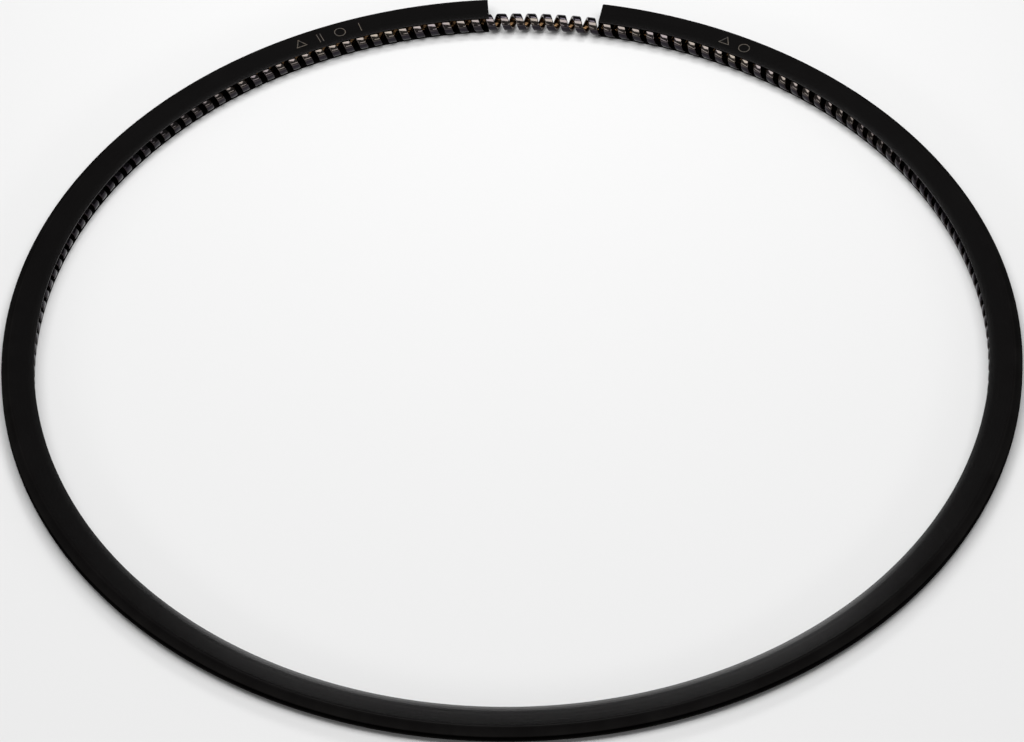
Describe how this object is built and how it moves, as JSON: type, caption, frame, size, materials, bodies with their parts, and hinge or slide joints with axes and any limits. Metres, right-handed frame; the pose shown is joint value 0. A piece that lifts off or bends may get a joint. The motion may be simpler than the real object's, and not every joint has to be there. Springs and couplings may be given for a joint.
{
  "type": "spring-loaded oil control piston ring",
  "caption": "Open metal ring with bevelled wiping lands, drain slots and a coil spring in its inner groove; scrapes oil off a cylinder wall and seals a piston.",
  "frame": {"origin": "on the ring's axis, in the plane of its bottom side face", "axes": "+Z along the ring's axis, towards the top side face; +Y from the axis to the middle of the open gap"},
  "size_m": [0.145, 0.1445, 0.003],
  "materials": {
    "oil_ring": "black manganese phosphate, matt with a faint oiled sheen",
    "coil_expander": "tempered flat spring wire, brown to violet heat tint",
    "joint_wire": "bright drawn wire"
  },
  "bodies": {
    "root": {"oil_ring": "oil_ring", "coil_expander": "coil_expander", "joint_wire": "joint_wire"}
  },
  "joints": []
}
